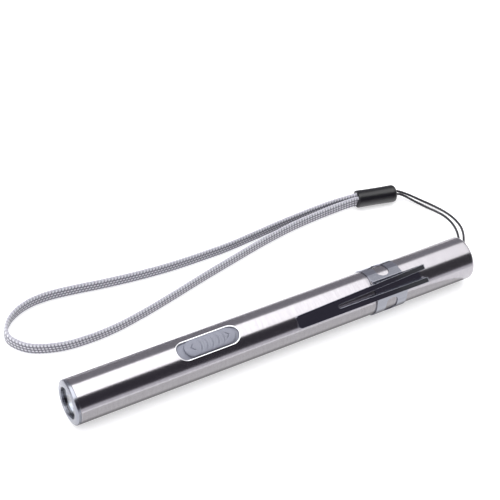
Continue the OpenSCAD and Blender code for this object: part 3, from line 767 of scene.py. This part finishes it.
def refinedCopy(node, name, body, bevel):
    # A cleaned copy of a pressed or cut part, with a small rounded edge all round it
    mesh = bpy.data.objects[node].data.copy()
    mesh.name = name
    work = bmesh.new()
    work.from_mesh(mesh)
    bmesh.ops.remove_doubles(work, verts=work.verts, dist=2e-6)
    bmesh.ops.dissolve_limit(work, angle_limit=math.radians(1.5), verts=work.verts, edges=work.edges)
    bmesh.ops.recalc_face_normals(work, faces=work.faces)
    work.to_mesh(mesh)
    work.free()
    mesh.materials.clear()
    mesh.materials.append(clipSteel)
    mesh.polygons.foreach_set("use_smooth", np.ones(len(mesh.polygons), bool))
    mesh.set_sharp_from_angle(angle=math.radians(24))
    obj = placed(name, mesh)
    rounded = obj.modifiers.new("roundedEdges", "BEVEL")
    rounded.width = bevel
    rounded.segments = 4
    rounded.limit_method = "ANGLE"
    rounded.angle_limit = math.radians(35)
    rounded.harden_normals = True
    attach(obj, body)
    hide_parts(node)


clipSteel = springSteel("nickelPlatedSpringSteel")
refinedCopy("clip_band", "clipBand", "clip", 0.1 * mm)
refinedCopy("clip_tongue", "clipTongue", "tongue", 0.08 * mm)
print("clip made")


# ---- materials on the parts that keep their plain shape ----

def lensMaterial():
    # Polished polycarbonate window: clear, with a slight cool tint and a few rub marks
    material, tree, shader = newMaterial("clearPolycarbonate", Transmission_Weight=1.0, IOR=1.49)
    rub = evenNoise(tree, 900, 4.0)
    tone = mixColors(tree, rangeOf(tree, rub, 0, 1), "#F6FAFC", "#EEF3F8")
    tree.links.new(tone, shader.inputs["Base Color"])
    tree.links.new(rangeOf(tree, rub, 0.01, 0.05), shader.inputs["Roughness"])
    return material


def phosphorMaterial():
    # Yellow phosphor under a clear silicone dome: warm yellow centre, slightly glossy
    material, tree, shader = newMaterial("phosphorUnderSilicone", IOR=1.41,
                                         Coat_Weight=0.6, Coat_Roughness=0.05)
    speckle = evenNoise(tree, 6000, 3.0)
    tone = mixColors(tree, rangeOf(tree, speckle, 0, 1), "#EFD04A", "#D8B23A")
    tree.links.new(tone, shader.inputs["Base Color"])
    tree.links.new(rangeOf(tree, speckle, 0.3, 0.5), shader.inputs["Roughness"])
    return material


def boardMaterial(name, colour, shade, rough):
    # Solder mask over woven glass: a glossy skin with the weave just showing
    material, tree, shader = newMaterial(name, IOR=1.52, Coat_Weight=0.3, Coat_Roughness=0.2)
    weave = addNode(tree, "ShaderNodeTexWave", {"Scale": 1.0, "bands_direction": "X", "Distortion": 0.6},
                    {"Vector": objectPoint(tree, (1600, 1600, 1600))}).outputs["Fac"]
    tone = mixColors(tree, rangeOf(tree, weave, 0, 0.5, 0, 1), colour, shade)
    tree.links.new(tone, shader.inputs["Base Color"])
    tree.links.new(rangeOf(tree, weave, rough, rough + 0.1, 0, 1), shader.inputs["Roughness"])
    bumpFrom(tree, shader, weave, 0.01 * mm, 0.4)
    return material


keptMaterials = {
    "lens": lensMaterial(),
    "led_emitter": phosphorMaterial(),
    "led_board": boardMaterial("whiteSolderMask", "#E4E5E2", "#CFD0CE", 0.35),
    "control_board": boardMaterial("greenSolderMask", "#1F6B3B", "#175330", 0.3),
    "board_parts": mouldedPlastic("blackEpoxyChips", "#1B1B1D", "#29292C", 0.45, 0.1, 0.01),
    "lens_gasket": mouldedPlastic("blackSiliconeGasket", "#17171A", "#222226", 0.6, 0.3, 0.02),
    "neck_o_ring": mouldedPlastic("blackNitrileRing", "#141416", "#202024", 0.42, 0.25, 0.01),
    "reflector": plainMetal("vacuumSilveredReflector", "#B9BCC4", "#A3A6B0", 0.1, 1.2),
    "heat_sink": plainMetal("turnedAluminium", "#BFC1C4", "#9C9EA3", 0.34, 0.2),
    "led_leads": mouldedPlastic("redAndBlackWireJacket", "#8C1F1E", "#711817", 0.4, 0.4, 0.01),
    "carrier_upper": mouldedPlastic("blackMouldedCarrier", "#202124", "#2B2C30", 0.5),
    "carrier_lower": mouldedPlastic("blackMouldedCarrierLower", "#1E1F22", "#292A2E", 0.5),
    "slide_switch_body": plainMetal("tinnedSteelSwitchCan", "#B4B6B8", "#94969A", 0.32, 0.3),
    "slide_switch_actuator": mouldedPlastic("blackSwitchLever", "#1B1B1D", "#27272A", 0.5),
    "battery_cell": mouldedPlastic("shrunkCellSleeve", "#2C4C86", "#223D6E", 0.3, 0.8, 0.01,
                                   Coat_Weight=0.4),
    "battery_tabs": plainMetal("nickelStrip", "#C3BFB4", "#A6A298", 0.25, 0.4),
    "plug_ribbon": mouldedPlastic("amberPolyimideRibbon", "#B5701F", "#965816", 0.28, 0.5, 0.005,
                                  Coat_Weight=0.3),
    "plug_collar": mouldedPlastic("blackMouldedCollar", "#1D1E21", "#292A2E", 0.48, 0.25, 0.02),
    "usb_shell": plainMetal("platedPlugShell", "#C9CACB", "#A9ABAE", 0.2, 0.5),
    "usb_insulator": mouldedPlastic("whiteMouldedInsulator", "#E6E4DC", "#D3D1C9", 0.4),
    "usb_contacts": plainMetal("goldPlatedContact", "#E2B64B", "#C4973A", 0.18, 0.3),
}
for node, material in keptMaterials.items():
    for slot in bpy.data.objects[node].material_slots:
        slot.material = material
print("kept parts finished")


# ---- floor and light ----

def stageFace(name, corners, material, onlyMirrors):
    # One flat face of the stage from its four corners in order, seen by every ray or by mirrors alone
    mesh = bpy.data.meshes.new(name)
    mesh.from_pydata(corners, [], [(0, 1, 2, 3)])
    mesh.materials.append(material)
    obj = placed(name, mesh)
    if onlyMirrors:
        obj.visible_camera = obj.visible_diffuse = obj.visible_shadow = obj.visible_transmission = False


def glowMaterial(name, **shader):
    # Gives light and reflects none
    return newMaterial(name, Base_Color=(0, 0, 0, 1), Roughness=1.0, Specular_IOR_Level=0.0,
                       Emission_Strength=1.0, **shader)


floor = dict(half=6, colour="#C9C9CB", glow=0.52)


def makeFloor():
    # White acrylic light table, so large that no view sees its edge: its own glow softens shadows
    h = floor["half"]
    material, _, _ = newMaterial("whiteLightTable", Base_Color=linearColor(floor["colour"]), Roughness=0.6,
                                 Specular_IOR_Level=0.1, Emission_Color=(1, 1, 1, 1),
                                 Emission_Strength=floor["glow"])
    stageFace("floor", [(-h, -h, 0), (h, -h, 0), (h, h, 0), (-h, h, 0)], material, False)


sky = dict(far=(0.9, 0.9, 0.92), low=(0.5, 0.5, 0.53), grey=(0.36, 0.355, 0.39), white=(1, 1, 1),
           dark=(0.055, 0.05, 0.066), side=(0.95, 0.94, 1.0), whiteBoost=2.9, tailBoost=1.2,
           dims=(0.40, 0.55), wall=(0.50, 0.54), wallLevel=0.1)


def makeSky():
    # Long softboxes parallel to the tube: brightness by the direction's angle about x, from +z towards -y
    world = bpy.data.worlds.new("softboxes")
    bpy.context.scene.world = world
    world.use_nodes = True
    tree = world.node_tree
    background = tree.nodes["Background"]
    where = addNode(tree, "ShaderNodeTexCoord").outputs["Generated"]
    parts = addNode(tree, "ShaderNodeSeparateXYZ", links={"Vector": where}).outputs
    flipped = addNode(tree, "ShaderNodeMath", {"operation": "MULTIPLY", 1: -1.0}, {0: parts["Y"]})
    angle = addNode(tree, "ShaderNodeMath", {"operation": "ARCTAN2"}, {0: flipped.outputs[0], 1: parts["Z"]})
    turn = rangeOf(tree, angle.outputs[0], 0.0, 1.0, -math.pi, math.pi)
    ramp = addNode(tree, "ShaderNodeValToRGB", links={"Fac": turn})
    stops = [(-180, "far"), (-95, "low"), (-88, "grey"), (-57, "grey"), (-50, "white"), (16, "white"),
             (20, "dark"), (73, "dark"), (79, "side"), (180, "far")]
    band = ramp.color_ramp
    while len(band.elements) < len(stops):
        band.elements.new(0.5)
    for element, (degrees, tone) in zip(band.elements, stops):
        element.position = (degrees + 180) / 360
        element.color = (*sky[tone], 1)
    # the white box shines brighter than one, and dims towards the tail
    bright = rangeOf(tree, parts["X"], sky["whiteBoost"], sky["tailBoost"], *sky["dims"])
    isWhite = rangeOf(tree, ramp.outputs["Color"], 0.0, 1.0, 0.96, 1.0)
    # past the clip the dark gap between the boxes gives way to a grey wall
    wall = rangeOf(tree, parts["X"], 0.0, sky["wallLevel"], *sky["wall"])
    filled = mixColors(tree, 1.0, ramp.outputs["Color"], wall, "LIGHTEN")
    strength = addNode(tree, "ShaderNodeMix", {"data_type": "FLOAT"})
    strength.inputs[2].default_value = 1.0
    tree.links.new(isWhite, strength.inputs[0])
    tree.links.new(bright, strength.inputs[3])
    tree.links.new(filled, background.inputs["Color"])
    tree.links.new(strength.outputs[0], background.inputs["Strength"])


overhead = dict(power=6.5, size=(1.6, 1.2), place=(-0.1, -0.15, 1.2), tilt=-8)


def makeOverhead():
    # Wide diffused lamp over the table, kept out of mirrors: the softboxes make those
    data = bpy.data.lights.new("overhead", "AREA")
    data.shape = "RECTANGLE"
    data.size, data.size_y = overhead["size"]
    data.energy = overhead["power"]
    obj = placed("overhead", data)
    obj.matrix_world = (Matrix.Translation(overhead["place"])
                        @ Matrix.Rotation(math.radians(overhead["tilt"]), 4, "X"))
    obj.visible_glossy = obj.visible_camera = False


backCard = dict(y=41 * mm, low=0.2 * mm, height=15 * mm, halfWidth=0.6, colour=(0.37, 0.36, 0.39))


def makeBackCard():
    # A grey card standing behind the tube: it darkens the reflection of the far table
    c = backCard
    material, _, _ = glowMaterial("greyCard", Emission_Color=(*c["colour"], 1))
    w, y = c["halfWidth"], c["y"]
    stageFace("backCard", [(-w, y, c["low"]), (w, y, c["low"]), (w, y, c["height"]), (-w, y, c["height"])],
              material, True)


contactShade = dict(near=-4 * mm, edge=-8.5 * mm, open=-12 * mm, far=-80 * mm, height=0.1 * mm,
                    dim=0.34, bright=0.93)


def makeContactShade():
    # The table's shade along the tube's front: brightness rises from dim at the edge to bright in the open
    c = contactShade
    material, tree, shader = glowMaterial("shadedTable")
    where = addNode(tree, "ShaderNodeTexCoord").outputs["Object"]
    y = addNode(tree, "ShaderNodeSeparateXYZ", links={"Vector": where}).outputs["Y"]
    level = rangeOf(tree, y, c["dim"], c["bright"], c["edge"], c["open"])
    tree.links.new(level, shader.inputs["Emission Color"])
    far, near, z = c["far"], c["near"], c["height"]
    stageFace("contactShade", [(headX, far, z), (tailX, far, z), (tailX, near, z), (headX, near, z)],
              material, True)


makeFloor()
makeBackCard()
makeContactShade()
makeSky()
makeOverhead()
print("floor and light set")
